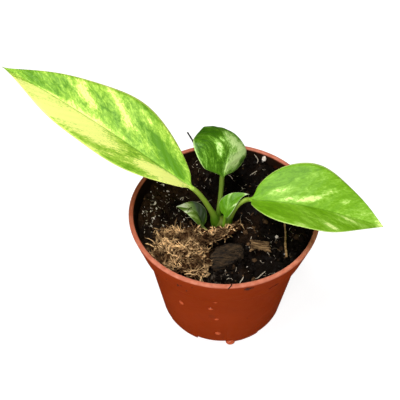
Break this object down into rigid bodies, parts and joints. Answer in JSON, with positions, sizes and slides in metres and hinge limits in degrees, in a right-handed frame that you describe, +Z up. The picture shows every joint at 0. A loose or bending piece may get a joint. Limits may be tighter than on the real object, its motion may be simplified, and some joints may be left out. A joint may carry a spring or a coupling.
{
  "type": "potted variegated anthurium",
  "caption": "Young potted aroid with marbled, pointed green leaves on thin petioles, in dark soil with torn coir, in a low terracotta-coloured plastic nursery pot.",
  "frame": {"origin": "centre of the pot's underside, on the surface that the pot stands on", "axes": "+Z up along the pot's axis, +X towards the tip of the broad right leaf, -Y towards the viewer of the picture"},
  "size_m": [0.1787, 0.09, 0.1153],
  "materials": {
    "pot_plastic": "injection-moulded polypropylene, satin, terracotta colour with a paler rim, dusty and damp",
    "potting_mix": "damp peat and bark crumbs with white perlite grains and loose fibres",
    "coconut_fibre": "torn, matted coconut fibre, tan to gold, dark in its gaps",
    "dark_bark": "damp dark bark with split grain",
    "pale_bark": "dry tan bark flake, torn edge",
    "twig": "dry tan twig, dull",
    "dark_twig": "thin dark grey stick, dull",
    "stem": "fleshy yellow-green stem with brown sheath rests",
    "leaf_long": "waxy leaf, marbled green and pale yellow-cream, fine veins",
    "leaf_broad": "waxy mid-green leaf with pale streaks along its veins",
    "leaf_round": "glossy dark and light green leaf with a pale margin",
    "leaf_young": "glossy soft young leaf with a pale margin",
    "leaf_dark": "dark green young leaf with a grey-pale margin and tip"
  },
  "bodies": {
    "root": {"pot": "pot_plastic", "soil": "potting_mix", "coir_plug": "coconut_fibre", "bark_chunk": "dark_bark", "bark_flake": "pale_bark", "twig_right": "twig", "twig_back": "dark_twig", "crown": "stem", "leaf_long_left": "leaf_long", "leaf_broad_right": "leaf_broad", "leaf_round_back": "leaf_round", "leaf_young_centre": "leaf_young", "leaf_young_low": "leaf_dark"}
  },
  "joints": []
}
